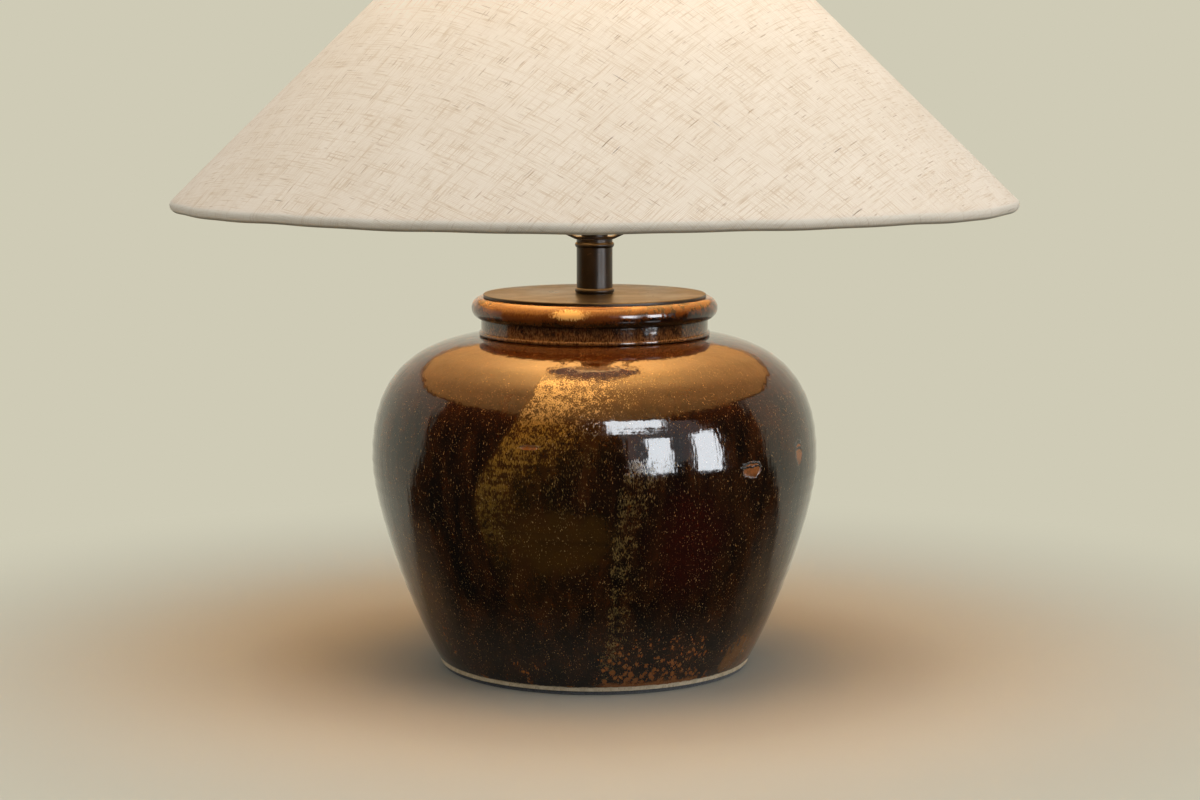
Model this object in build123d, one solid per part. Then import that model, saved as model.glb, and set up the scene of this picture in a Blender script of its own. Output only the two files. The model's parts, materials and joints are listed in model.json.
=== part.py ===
from build123d import *
import math
import os

os.makedirs("parts", exist_ok=True)

# Table lamp: a glazed stoneware jar on a felt ring, a metal cap and neck, a lamp socket with its bulb,
# and a wide cone shade carried by a harp. Millimetres, Z up, the table is at Z = 0, the front is -Y.

# Jar
felt_thickness = 2.5
felt_width = 11.0
felt_inset = 1.2  # the felt stands in from the edge of the foot
foot_radius = 94.6
foot_band_height = 2.2  # bare clay below the glaze
glaze_overhang = 1.6  # the glazed wall stands out from the bare foot
foot_wall = 15.0  # width of the foot ring around the recess
recess_height = 18.0
floor_thickness = 10.0
belly_radius = 135.6
belly_height = 126.0  # foot to the widest place
flank_lean = 28.0  # degrees from upright at the foot
collar_radius = 69.0
shoulder_height = 199.5  # foot to the base of the collar
shoulder_slope = 5.7  # degrees at the collar
collar_bead = 0.9
rim_roll = 6.75  # section radius of the rolled rim
rim_overhang = 5.7  # the rim stands out from the collar
rim_land_depth = 0.4  # flat ground on top of the rim
jar_height = 222.5  # foot to rim
jar_wall = 8.0

# Curve of the jar's wall: length of each curve handle, as a share of the curve's rise or run
foot_pull = 0.40
belly_pull_down = 0.20
belly_pull_up = 0.65
shoulder_pull = 0.64

# Bushing where the lead leaves, at the back of the foot
lead_bore = 3.3
lead_hole = 5.0
lead_height = 11.0  # above the foot
bushing_lip = 7.0
bushing_lip_thickness = 1.8
bushing_nose = 6.0  # the nose stands out from the jar's wall
bushing_tail = 3.0  # inside the recess

# Lamp pipe and the hardware under the jar
pipe_radius = 5.0
pipe_bore = 3.4
pipe_stub = 2.0  # pipe below the nut
pipe_grip = 8.0  # pipe inside the socket cap
pipe_clearance = 0.3
thread_clearance = 0.1
gasket_radius = 22.0
gasket_thickness = 2.0
washer_radius = 20.0
washer_thickness = 2.0
lock_washer_radius = 8.0
lock_washer_thickness = 1.0
lock_tooth = 1.6
lock_tooth_count = 10
nut_width = 14.3  # across the flats
nut_height = 5.0

# Cap and neck
cap_setback = 7.1  # the edge of the cap, in from the edge of the rim
cap_thickness = 1.5
cap_edge = 0.6
cap_gasket_thickness = 0.5
cap_gasket_inset = 0.5  # in from the edge of the cap
cap_gasket_clearance = 1.5  # out from the mouth
plug_thickness = 12.0
plug_clearance = 1.0
plug_chamfer = 2.0
neck_radius = 10.9
neck_height = 33.1
neck_wall = 1.0
neck_bead = 1.9
neck_bead_out = 1.0
neck_lip = 1.6  # plain lip above the upper bead

# Socket
base_radius = 13.0  # screw base of the bulb
socket_clearance = 0.3
screw_shell_wall = 0.6
screw_shell_height = 22.0
liner_gap = 0.3
liner_wall = 0.7
shell_wall = 0.7
shell_height = 49.0
shell_in_cap = 7.0
shell_bead = 0.9
hub_radius = 8.0
hub_height = 5.4
cap_wall = 0.8
socket_cap_height = 22.4
core_height = 25.0
contact_strip = 0.6
contact_width = 5.0
contact_height = 2.4
terminal_head = 3.2
terminal_head_height = 2.0
terminal_shank = 4.8
terminal_height = 6.0  # above the bottom of the core
set_screw_radius = 1.6
set_screw_head = 1.8

# Turn switch
stem_radius = 2.2
stem_inside = 6.5  # the stem's inner end, from the middle
stem_height = 15.0  # above the bottom of the core
stem_reach = 10.0  # stem outside the shell
knob_radius = 6.2
knob_length = 15.0
knob_flute = 0.9
knob_flute_count = 12

# Bulb
bulb_length = 110.0
globe_radius = 30.0
globe_seam = 35.0  # degrees below the widest ring of the globe
globe_wall = 1.2
housing_wall = 1.5
housing_neck = 13.6
tip_radius = 4.8
tip_height = 2.0
insulator_height = 2.5
screw_base_wall = 1.0
screw_base_height = 20.5
board_thickness = 1.6

# Harp and saddle
saddle_thickness = 1.5
saddle_width = 12.7
saddle_flat = 11.0  # half length of the flat middle
saddle_half_span = 29.0
saddle_rise = 8.4  # from the flat middle to the upright arms
saddle_arm = 22.0  # height of the arms
saddle_bend = 5.0
tongue_width = 4.0
tongue_height = 14.0
harp_wire = 2.0
harp_height = 177.8  # bottom of the saddle to the middle of the harp's top
harp_half_width = 56.0
harp_widest = 118.0  # above the bottom of the saddle
harp_pad = 8.0
harp_pad_thickness = 4.0
sleeve_radius = 3.8
sleeve_bore = 2.8
sleeve_length = 16.0
sleeve_travel = 14.0
stud_radius = 3.1
stud_height = 13.0
stud_flange = 7.0
stud_flange_thickness = 2.0
rivet_radius = 2.5

# Shade
shade_radius = 254.0  # outside of the bottom hem
shade_top_radius = 76.0
ring_to_ring = 172.6  # bottom ring to top ring
cover_thickness = 0.8
liner_thickness = 0.5
ring_wire = 2.2
hem_gap = 0.6  # cloth to ring wire
bottom_hem_turn = 235.0  # degrees of cloth round the bottom wire
top_hem_turn = 100.0  # degrees of cloth over the top wire
liner_clearance = 0.3  # cloth to lining
spider_drop = 12.7  # the hub lies below the top ring
spider_hub = 11.0
spider_hub_thickness = 2.0
spider_wire = 2.0
spider_flat = 28.0
spider_arms = 3

# Finial
finial_flange = 8.0
finial_flange_thickness = 2.2
finial_waist = 4.6
finial_waist_height = 5.0
finial_ball = 9.0
finial_gap = 0.3

# Levels, from the table up
foot_level = felt_thickness
floor_under = foot_level + recess_height
floor_top = floor_under + floor_thickness
belly_level = foot_level + belly_height
collar_level = foot_level + shoulder_height
rim_top = foot_level + jar_height
roll_level = rim_top + rim_land_depth - rim_roll
roll_centre = collar_radius + rim_overhang - rim_roll
mouth_radius = roll_centre - rim_roll
recess_radius = foot_radius - foot_wall
lead_level = foot_level + lead_height
pipe_hole = pipe_radius + pipe_clearance
nut_under = floor_under - gasket_thickness - washer_thickness - lock_washer_thickness - nut_height
cap_radius = collar_radius + rim_overhang - cap_setback
cap_under = rim_top + cap_gasket_thickness
cap_top = cap_under + cap_thickness
saddle_level = cap_top + neck_height
socket_level = saddle_level + saddle_thickness
socket_cap_top = socket_level + socket_cap_height
shell_under = socket_cap_top - shell_in_cap
core_top = shell_under + core_height
stem_level = shell_under + stem_height
terminal_level = shell_under + terminal_height
bulb_low = core_top + contact_height + socket_clearance
globe_level = bulb_low + bulb_length - globe_radius
sleeve_level = saddle_level + saddle_arm
harp_level = saddle_level + harp_height
stud_level = harp_level + harp_pad_thickness / 2
hub_under = stud_level + stud_flange_thickness
hub_top = hub_under + spider_hub_thickness
top_ring_level = hub_under + spider_hub_thickness / 2 + spider_drop
bottom_ring_level = top_ring_level - ring_to_ring

# Fits around the bulb's screw base, from the inside out
screw_shell_inside = base_radius + socket_clearance
screw_shell_outside = screw_shell_inside + screw_shell_wall
liner_inside = screw_shell_outside + liner_gap
liner_outside = liner_inside + liner_wall
shell_inside = liner_outside + thread_clearance
shell_outside = shell_inside + shell_wall
socket_cap_inside = shell_outside + thread_clearance
socket_cap_radius = socket_cap_inside + cap_wall
leg_position = saddle_half_span + saddle_thickness / 2
hem_inside = ring_wire + hem_gap
hem_roll = hem_inside + cover_thickness


def ring(outer, inner, low, high):
    blank = Pos(0, 0, (low + high) / 2) * Cylinder(outer, high - low)
    return blank - Pos(0, 0, (low + high) / 2) * Cylinder(inner, high - low)


def turned(profile):
    # A profile drawn as (radius, height) turned once around Z.
    return revolve(Plane.XZ * profile, Axis.Z)


def outline(*points):
    return make_face(Polyline(*points, close=True))


def rod_along_y(radius, near, far, level):
    # A round rod from y = near to y = far.
    return Pos(0, (near + far) / 2, level) * Rot(90, 0, 0) * Cylinder(radius, far - near)


def rod_along_x(radius, near, far, level):
    return Pos((near + far) / 2, 0, level) * Rot(0, 90, 0) * Cylinder(radius, far - near)


# Jar: the wall is two smooth curves that meet upright at the belly.
def jar_flank(start, widest):
    rise = widest[1] - start[1]
    lean = math.radians(flank_lean)
    pull = foot_pull * rise
    low_handle = (start[0] + pull * math.sin(lean), start[1] + pull * math.cos(lean))
    high_handle = (widest[0], widest[1] - belly_pull_down * rise)
    return Bezier(start, low_handle, high_handle, widest)


def jar_shoulder(widest, collar):
    rise = collar[1] - widest[1]
    run = shoulder_pull * (widest[0] - collar[0])
    slope = math.radians(shoulder_slope)
    low_handle = (widest[0], widest[1] + belly_pull_up * rise)
    high_handle = (collar[0] + run * math.cos(slope), collar[1] - run * math.sin(slope))
    return Bezier(widest, low_handle, high_handle, collar)


def flank_start(grow):
    return (foot_radius + glaze_overhang + grow, foot_level + foot_band_height + glaze_overhang)


def jar_body():
    widest = (belly_radius, belly_level)
    collar = (collar_radius, collar_level)
    bead_top = (collar_radius, collar_level + 3 * collar_bead)
    bead_side = (collar_radius + collar_bead, collar_level + 1.5 * collar_bead)
    roll_side = collar_radius - roll_centre
    roll_under = roll_level - math.sqrt(rim_roll**2 - roll_side**2)
    land = math.sqrt(rim_roll**2 - (rim_roll - rim_land_depth) ** 2)
    flare = (floor_top - foot_level) * math.tan(math.radians(flank_lean))
    inner_floor = (foot_radius + flare - jar_wall, floor_top)
    inner_widest = (belly_radius - jar_wall, belly_level)
    inner_collar = (mouth_radius, collar_level - jar_wall)
    slant = rim_roll / math.sqrt(2)
    profile = make_face(
        [
            Polyline(
                inner_floor,
                (pipe_hole, floor_top),
                (pipe_hole, floor_under),
                (recess_radius, floor_under),
                (recess_radius, foot_level),
                (foot_radius, foot_level),
                (foot_radius, foot_level + foot_band_height),
                flank_start(0),
            ),
            jar_flank(flank_start(0), widest),
            jar_shoulder(widest, collar),
            ThreePointArc(collar, bead_side, bead_top),
            Line(bead_top, (collar_radius, roll_under)),
            ThreePointArc(
                (collar_radius, roll_under),
                (roll_centre + rim_roll, roll_level),
                (roll_centre + land, rim_top),
            ),
            Line((roll_centre + land, rim_top), (roll_centre - land, rim_top)),
            ThreePointArc(
                (roll_centre - land, rim_top),
                (roll_centre - slant, roll_level + slant),
                (mouth_radius, roll_level),
            ),
            Line((mouth_radius, roll_level), inner_collar),
            jar_shoulder(inner_widest, inner_collar),
            jar_flank(inner_floor, inner_widest),
        ]
    )
    return turned(profile) - rod_along_y(lead_hole, recess_radius - 2, belly_radius, lead_level)


def jar_block(grow):
    # The solid lower half of the jar's outside, grown outward.
    start = flank_start(grow)
    widest = (belly_radius + grow, belly_level)
    profile = make_face([Polyline(widest, (0, belly_level), (0, start[1]), start), jar_flank(start, widest)])
    return turned(profile)


def foot_felt():
    outer = foot_radius - felt_inset
    return ring(outer, outer - felt_width, 0, felt_thickness)


# Bushing: its outer lip follows the jar's wall, its nose and inner end are flat.
lead_wall = foot_radius + lead_height * math.tan(math.radians(flank_lean))
bushing_inner = recess_radius - bushing_tail
bushing_outer = lead_wall + bushing_nose


def cord_bushing():
    lip = rod_along_y(bushing_lip, recess_radius, bushing_outer + bushing_lip, lead_level)
    lip = (lip & jar_block(bushing_lip_thickness)) - jar_block(0)
    body = rod_along_y(lead_hole - thread_clearance, bushing_inner, bushing_outer, lead_level)
    recess_wall = math.sqrt(recess_radius**2 - bushing_lip**2)
    inner_lip = rod_along_y(bushing_lip, bushing_inner, recess_wall, lead_level)
    bore = rod_along_y(lead_bore, bushing_inner, bushing_outer, lead_level)
    return body + lip + inner_lip - bore


# Hardware under the jar
def base_gasket():
    return ring(gasket_radius, pipe_hole, floor_under - gasket_thickness, floor_under)


def base_washer():
    top = floor_under - gasket_thickness
    return ring(washer_radius, pipe_hole, top - washer_thickness, top)


def base_lock_washer():
    tooth = Pos(lock_washer_radius, 0) * Rectangle(2 * lock_tooth, lock_tooth)
    star = Circle(lock_washer_radius) + PolarLocations(0, lock_tooth_count) * tooth
    star = star - Circle(pipe_hole)
    return extrude(Pos(0, 0, nut_under + nut_height) * star, lock_washer_thickness)


def base_nut():
    hexagon = RegularPolygon(nut_width / 2, 6, major_radius=False) - Circle(pipe_radius + thread_clearance)
    return extrude(Pos(0, 0, nut_under) * hexagon, nut_height)


def lamp_pipe():
    return ring(pipe_radius, pipe_bore, nut_under - pipe_stub, socket_level + pipe_grip)


# Cap and neck
def cap_gasket():
    return ring(cap_radius - cap_gasket_inset, mouth_radius + cap_gasket_clearance, rim_top, cap_under)


def cap_plug():
    plug = ring(mouth_radius - plug_clearance, pipe_hole, cap_under - plug_thickness, cap_under)
    lowest_edges = plug.edges().group_by(Axis.Z)[0]
    return chamfer(lowest_edges.sort_by(SortBy.RADIUS)[-1], plug_chamfer)


def vase_cap():
    cap = ring(cap_radius, pipe_hole, cap_under, cap_top)
    return fillet(cap.edges().group_by(Axis.Z)[-1].sort_by(SortBy.RADIUS)[-1], cap_edge)


def neck_tube():
    inside = neck_radius - neck_wall
    bead_centre = neck_radius + neck_bead_out - neck_bead
    upper_bead = saddle_level - neck_lip - neck_bead
    wall = outline(
        (inside, cap_top), (neck_radius, cap_top), (neck_radius, saddle_level), (inside, saddle_level)
    )
    web = outline(
        (pipe_hole, saddle_level - neck_wall),
        (neck_radius, saddle_level - neck_wall),
        (neck_radius, saddle_level),
        (pipe_hole, saddle_level),
    )
    beads = Pos(bead_centre, cap_top + neck_bead) * Circle(neck_bead)
    beads = beads + Pos(bead_centre, upper_bead) * Circle(neck_bead)
    far = 2 * neck_radius
    room = outline((inside, cap_top), (far, cap_top), (far, saddle_level), (inside, saddle_level))
    return turned(wall + web + (beads & room))


# Socket
def socket_cap():
    dome = socket_cap_radius - hub_radius
    dome_low = socket_level + hub_height
    slant = dome / math.sqrt(2)
    inner = dome - cap_wall
    inner_slant = inner / math.sqrt(2)
    profile = make_face(
        [
            Polyline(
                (hub_radius, dome_low),
                (hub_radius, socket_level),
                (pipe_radius + thread_clearance, socket_level),
                (pipe_radius + thread_clearance, dome_low + cap_wall),
                (hub_radius, dome_low + cap_wall),
            ),
            ThreePointArc(
                (hub_radius, dome_low + cap_wall),
                (hub_radius + inner_slant, dome_low + dome - inner_slant),
                (socket_cap_inside, dome_low + dome),
            ),
            Polyline(
                (socket_cap_inside, dome_low + dome),
                (socket_cap_inside, socket_cap_top),
                (socket_cap_radius, socket_cap_top),
                (socket_cap_radius, dome_low + dome),
            ),
            ThreePointArc(
                (socket_cap_radius, dome_low + dome),
                (hub_radius + slant, dome_low + dome - slant),
                (hub_radius, dome_low),
            ),
        ]
    )
    screw_hole = rod_along_y(set_screw_radius, pipe_radius, hub_radius + 1, socket_level + hub_height / 2)
    return turned(profile) - screw_hole


def socket_set_screw():
    level = socket_level + hub_height / 2
    tip = pipe_radius + thread_clearance
    shank = rod_along_y(set_screw_radius - thread_clearance, tip, hub_radius + 1, level)
    end = hub_radius + set_screw_head
    head = rod_along_y(1.5 * set_screw_radius, hub_radius + thread_clearance, end, level)
    slot = Pos(0, end, level) * Box(4 * set_screw_radius, set_screw_head, 0.6)
    return shank + head - slot


def socket_shell():
    top = shell_under + shell_height
    bead_level = socket_cap_top + shell_bead + thread_clearance
    wall = outline(
        (shell_inside, shell_under), (shell_outside, shell_under), (shell_outside, top), (shell_inside, top)
    )
    bead = Pos(shell_outside, bead_level) * Circle(shell_bead)
    rolled_top = Pos((shell_inside + shell_outside) / 2, top) * Circle(shell_wall)
    room = outline(
        (shell_inside, shell_under),
        (2 * shell_outside, shell_under),
        (2 * shell_outside, top + shell_wall),
        (shell_inside, top + shell_wall),
    )
    shell = turned(wall + ((bead + rolled_top) & room))
    return shell - rod_along_y(stem_radius + socket_clearance, -2 * shell_outside, 0, stem_level)


def socket_liner():
    tube = ring(liner_outside, liner_inside, shell_under, shell_under + shell_height - 1)
    return tube - rod_along_y(stem_radius + socket_clearance, -2 * liner_outside, 0, stem_level)


def socket_core():
    core = Pos(0, 0, (shell_under + core_top) / 2) * Cylinder(screw_shell_outside, core_height)
    core = core - rod_along_y(stem_radius + socket_clearance, -2 * base_radius, 1 - stem_inside, stem_level)
    pocket_start = base_radius - terminal_head
    for side in (-1, 1):
        pocket = rod_along_x(terminal_head + 0.6, pocket_start, 2 * base_radius, terminal_level)
        hole = rod_along_x(terminal_head / 2, pocket_start - terminal_shank, pocket_start, terminal_level)
        core = core - Rot(0, 0, 90 - 90 * side) * (pocket + hole)
    return core


def terminal_screws():
    start = base_radius - terminal_head
    end = start + terminal_head_height
    head = rod_along_x(terminal_head, start, end, terminal_level)
    slot = Pos(end, 0, terminal_level) * Box(terminal_head_height, 4 * terminal_head, 0.8)
    shank = rod_along_x(terminal_head / 2 - thread_clearance, start - terminal_shank, start, terminal_level)
    screw = head + shank - slot
    return Compound([screw, Rot(0, 0, 180) * screw])


def screw_shell():
    return ring(screw_shell_outside, screw_shell_inside, core_top, core_top + screw_shell_height)


def centre_contact():
    half = contact_strip / 2
    path = Polyline(
        (-6, core_top + half),
        (-1, core_top + half),
        (3, core_top + contact_height - half),
        (6, core_top + contact_height - half),
    )
    strip = trace(path, contact_strip)
    return extrude(Plane.XZ * strip, contact_width / 2, both=True)


# Turn switch: a stem through the socket with a fluted knob, along -Y.
knob_start = shell_outside + stem_reach - knob_length / 3


def key_stem():
    return rod_along_y(stem_radius, -(shell_outside + stem_reach), -stem_inside, stem_level)


def key_knob():
    flute = Pos(knob_radius, 0) * Circle(knob_flute)
    section = Circle(knob_radius) - PolarLocations(0, knob_flute_count) * flute
    knob = extrude(Plane.XZ.offset(knob_start) * Pos(0, stem_level) * section, knob_length)
    front = Pos(0, -(knob_start + knob_length), stem_level) * Rot(90, 0, 0) * Cone(
        2 * knob_radius, knob_radius - 2, 2 * knob_radius + 4, align=(Align.CENTER, Align.CENTER, Align.MAX)
    )
    bore = rod_along_y(stem_radius + 0.02, -(shell_outside + stem_reach), -knob_start, stem_level)
    return (knob & front) - bore


# Bulb: screw base, housing that flares to the seam, ball-shaped globe.
seam_angle = math.radians(globe_seam)
seam_radius = globe_radius * math.cos(seam_angle)
seam_level = globe_level - globe_radius * math.sin(seam_angle)
insulator_low = bulb_low + tip_height
base_low = insulator_low + insulator_height - screw_base_wall
housing_low = base_low + screw_base_height


def bulb_contact():
    edge = (tip_radius, insulator_low)
    dome = TangentArc((0, bulb_low), edge, tangent=(1, 0))
    return turned(make_face([dome, Polyline(edge, (0, insulator_low), (0, bulb_low))]))


def bulb_insulator():
    low = insulator_low
    top = low + insulator_height
    return turned(outline((0, low), (1.25 * tip_radius, low), (base_radius - screw_base_wall, top), (0, top)))


def bulb_screw_base():
    return ring(base_radius, base_radius - screw_base_wall, base_low, housing_low)


def bulb_housing():
    def wall_curve(inset):
        top = (seam_radius - inset, seam_level)
        low = (housing_neck - inset, housing_low)
        reach = (seam_level - housing_low) / 3
        bend = (top[0] - reach * math.tan(seam_angle), top[1] - reach)
        return Bezier(top, bend, (low[0], low[1] + reach), low)

    outside = wall_curve(0)
    inside = wall_curve(housing_wall)
    profile = make_face([outside, Line(outside @ 0, inside @ 0), inside, Line(outside @ 1, inside @ 1)])
    return turned(profile)


def led_board():
    # The board lies in the mouth of the housing, level with the seam.
    radius = seam_radius - housing_wall - board_thickness * math.tan(seam_angle) - thread_clearance
    return Pos(0, 0, seam_level - board_thickness / 2) * Cylinder(radius, board_thickness)


def bulb_globe():
    def wall_arc(radius):
        low = (math.sqrt(radius**2 - (globe_level - seam_level) ** 2), seam_level)
        return ThreePointArc(low, (radius, globe_level), (0, globe_level + radius))

    outside = wall_arc(globe_radius)
    inside = wall_arc(globe_radius - globe_wall)
    profile = make_face([outside, Line(outside @ 0, inside @ 0), inside, Line(outside @ 1, inside @ 1)])
    return turned(profile)


# Saddle: a bent strip under the socket, each arm ends in a narrow tongue.
def harp_saddle():
    half = saddle_thickness / 2
    arm_top = saddle_arm + tongue_height - half
    right = [(saddle_flat, 0), (saddle_half_span, saddle_rise), (saddle_half_span, arm_top)]
    left = [(-x, z) for x, z in reversed(right)]
    path = FilletPolyline(*left, *right, radius=saddle_bend)
    section = Plane.XZ * Pos(0, saddle_level + half) * trace(path, saddle_thickness)
    strip = extrude(section, saddle_width / 2, both=True)
    spare = (saddle_width - tongue_width) / 2
    for side in (-1, 1):
        beside = Pos(0, side * (tongue_width + spare) / 2, sleeve_level + tongue_height / 2)
        strip = strip - beside * Box(3 * saddle_half_span, spare, tongue_height)
    return strip - Pos(0, 0, saddle_level) * Cylinder(pipe_hole, 4 * saddle_thickness)


# Harp: straight legs, an outward S, and an arch of two arcs up to the flat pad in the middle.
def harp_loop():
    straight_top = sleeve_level + sleeve_length + sleeve_travel + 4
    widest_level = saddle_level + harp_widest
    arch_end = harp_pad * 0.7
    run = harp_half_width - arch_end
    rise = harp_level - widest_level
    k = math.sqrt(0.5)
    side_arc = (run * (1 - k) - rise * k) / (1 - 2 * k)
    leg = Line((leg_position, sleeve_level + 0.2), (leg_position, straight_top))
    middle = ((leg_position + harp_half_width) / 2, (straight_top + widest_level) / 2)
    outward = TangentArc(leg @ 1, middle, tangent=leg % 1)
    upright = TangentArc(outward @ 1, (harp_half_width, widest_level), tangent=outward % 1)
    bend = (harp_half_width - side_arc * (1 - k), widest_level + side_arc * k)
    inward = TangentArc(upright @ 1, bend, tangent=upright % 1)
    top = TangentArc(inward @ 1, (arch_end, harp_level), tangent=inward % 1)
    path = Plane.XZ * Wire([leg, outward, upright, inward, top])
    half = sweep(Plane(path @ 0, z_dir=path % 0) * Circle(harp_wire), path)
    flat = Pos(leg_position - harp_wire, 0, sleeve_level + tongue_height / 2)
    half = half - flat * Box(2 * harp_wire, 3 * harp_wire, tongue_height + 0.6)
    pad = ring(harp_pad, rivet_radius + thread_clearance, harp_level - harp_pad_thickness / 2, stud_level)
    rivet_hole = Pos(0, 0, harp_level) * Cylinder(rivet_radius + thread_clearance, 2 * harp_pad)
    return half + mirror(half, Plane.YZ) + pad - rivet_hole


def harp_stud():
    pad_under = harp_level - harp_pad_thickness / 2
    return turned(
        outline(
            (0, pad_under - 1.2),
            (4.0, pad_under - 1.2),
            (4.0, pad_under),
            (rivet_radius, pad_under),
            (rivet_radius, stud_level),
            (stud_flange, stud_level),
            (stud_flange, hub_under),
            (stud_radius, hub_under),
            (stud_radius, hub_under + stud_height - 0.8),
            (stud_radius - 0.8, hub_under + stud_height),
            (0, hub_under + stud_height),
        )
    )


def harp_sleeve(side):
    sleeve = ring(sleeve_radius, sleeve_bore, sleeve_level + 0.1, sleeve_level + sleeve_length)
    rims = sleeve.edges().filter_by(GeomType.CIRCLE).sort_by(SortBy.RADIUS)[-2:]
    return Pos(side * leg_position, 0, 0) * chamfer(rims, 0.4)


# Shade: the cloth lies on the cone that touches both ring wires and wraps round each of them.
bottom_ring = Vector(shade_radius - hem_roll, bottom_ring_level)
top_ring = Vector(shade_top_radius - hem_roll, top_ring_level)
along = (top_ring - bottom_ring).normalized()
outward = Vector(along.Y, -along.X)
wall_angle = math.degrees(math.atan2(outward.Y, outward.X))


def shade_strip(near, far, spare):
    # A strip of the cone's wall between two distances from the line that joins the rings.
    low = bottom_ring + along * spare
    high = top_ring - along * spare
    corners = [low + outward * near, low + outward * far, high + outward * far, high + outward * near]
    return outline(*[(corner.X, corner.Y) for corner in corners])


def shade_cover():
    # One strip of cloth: round the bottom wire, up the wall and over the top wire.
    def face_of_cloth(radius):
        low = CenterArc((bottom_ring.X, bottom_ring.Y), radius, wall_angle, -bottom_hem_turn)
        high = CenterArc((top_ring.X, top_ring.Y), radius, wall_angle, top_hem_turn)
        return low, Line(low @ 0, high @ 0), high

    inside = face_of_cloth(hem_inside)
    outside = face_of_cloth(hem_roll)
    low_end = Line(inside[0] @ 1, outside[0] @ 1)
    high_end = Line(inside[2] @ 1, outside[2] @ 1)
    return turned(make_face([*inside, *outside, low_end, high_end]))


def shade_liner():
    outside = hem_inside - liner_clearance
    return turned(shade_strip(outside - liner_thickness, outside, hem_roll))


def shade_bottom_ring():
    return Pos(0, 0, bottom_ring.Y) * Torus(bottom_ring.X, ring_wire)


def shade_spider():
    # Each arm leaves the hub level, then rises to end inside the wire of the top ring.
    hub_level = (hub_under + hub_top) / 2
    rise = FilletPolyline(
        (spider_hub - spider_wire, hub_level),
        (spider_flat, hub_level),
        (top_ring.X - ring_wire / 2, top_ring.Y),
        radius=spider_flat / 2,
    )
    path = Plane.XZ * rise
    arm = sweep(Plane(path @ 0, z_dir=path % 0) * Circle(spider_wire), path)
    arms = [Rot(0, 0, 90 + i * 360 / spider_arms) * arm for i in range(spider_arms)]
    hub = Pos(0, 0, hub_level) * Cylinder(spider_hub, spider_hub_thickness)
    bore = Pos(0, 0, hub_level) * Cylinder(stud_radius + socket_clearance, spider_hub)
    loop = Pos(0, 0, top_ring.Y) * Torus(top_ring.X, ring_wire)
    return hub + arms - bore + loop


def finial():
    low = hub_top + finial_gap
    bore = stud_radius + socket_clearance
    waist_top = low + finial_flange_thickness + finial_waist_height
    ball_centre = waist_top + math.sqrt(finial_ball**2 - finial_waist**2)
    bore_top = hub_under + stud_height + 1
    cove = finial_flange_thickness + finial_waist_height / 2
    profile = make_face(
        [
            Polyline(
                (0, ball_centre + finial_ball),
                (0, bore_top),
                (bore, bore_top),
                (bore, low),
                (finial_flange, low),
                (finial_flange, low + finial_flange_thickness),
            ),
            ThreePointArc(
                (finial_flange, low + finial_flange_thickness),
                (finial_waist + 0.5, low + cove),
                (finial_waist, waist_top),
            ),
            ThreePointArc(
                (finial_waist, waist_top), (finial_ball, ball_centre), (0, ball_centre + finial_ball)
            ),
        ]
    )
    return turned(profile)


nodes = {
    "jar_body": jar_body(),
    "foot_felt": foot_felt(),
    "cord_bushing": cord_bushing(),
    "base_gasket": base_gasket(),
    "base_washer": base_washer(),
    "base_lock_washer": base_lock_washer(),
    "base_nut": base_nut(),
    "lamp_pipe": lamp_pipe(),
    "cap_plug": cap_plug(),
    "cap_gasket": cap_gasket(),
    "vase_cap": vase_cap(),
    "neck_tube": neck_tube(),
    "harp_saddle": harp_saddle(),
    "socket_cap": socket_cap(),
    "socket_set_screw": socket_set_screw(),
    "socket_shell": socket_shell(),
    "socket_liner": socket_liner(),
    "socket_core": socket_core(),
    "terminal_screws": terminal_screws(),
    "screw_shell": screw_shell(),
    "centre_contact": centre_contact(),
    "key_stem": key_stem(),
    "key_knob": key_knob(),
    "bulb_contact": bulb_contact(),
    "bulb_insulator": bulb_insulator(),
    "bulb_screw_base": bulb_screw_base(),
    "bulb_housing": bulb_housing(),
    "led_board": led_board(),
    "bulb_globe": bulb_globe(),
    "harp_loop": harp_loop(),
    "harp_stud": harp_stud(),
    "harp_sleeve_left": harp_sleeve(-1),
    "harp_sleeve_right": harp_sleeve(1),
    "shade_spider": shade_spider(),
    "shade_bottom_ring": shade_bottom_ring(),
    "shade_liner": shade_liner(),
    "shade_cover": shade_cover(),
    "finial": finial(),
}

for name, shape in nodes.items():
    export_step(shape, f"parts/{name}.step")
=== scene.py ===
import json
from math import cos, pi, radians, sin, sqrt, tan
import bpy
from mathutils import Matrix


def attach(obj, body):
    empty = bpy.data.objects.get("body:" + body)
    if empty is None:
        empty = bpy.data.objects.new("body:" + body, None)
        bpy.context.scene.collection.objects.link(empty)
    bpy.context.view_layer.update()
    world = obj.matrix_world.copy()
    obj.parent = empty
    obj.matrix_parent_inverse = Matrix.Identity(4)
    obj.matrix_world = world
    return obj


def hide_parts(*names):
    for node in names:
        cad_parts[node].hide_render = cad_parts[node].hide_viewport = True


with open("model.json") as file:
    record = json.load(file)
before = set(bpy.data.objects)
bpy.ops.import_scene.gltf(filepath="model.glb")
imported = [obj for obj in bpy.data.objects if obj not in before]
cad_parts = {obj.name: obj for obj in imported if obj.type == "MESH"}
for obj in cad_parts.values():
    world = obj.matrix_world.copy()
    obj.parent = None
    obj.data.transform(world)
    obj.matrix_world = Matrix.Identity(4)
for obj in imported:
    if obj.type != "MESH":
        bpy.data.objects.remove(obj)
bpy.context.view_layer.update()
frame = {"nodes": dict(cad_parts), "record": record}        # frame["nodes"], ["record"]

from types import SimpleNamespace

import bmesh
import bpy
from mathutils import Vector

print("frame loaded with", len(frame["nodes"]), "nodes")


# Small helpers for node trees
def put(tree, kind, **settings):
    node = tree.nodes.new(kind)
    for name, value in settings.items():
        setattr(node, name, value)
    return node


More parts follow.
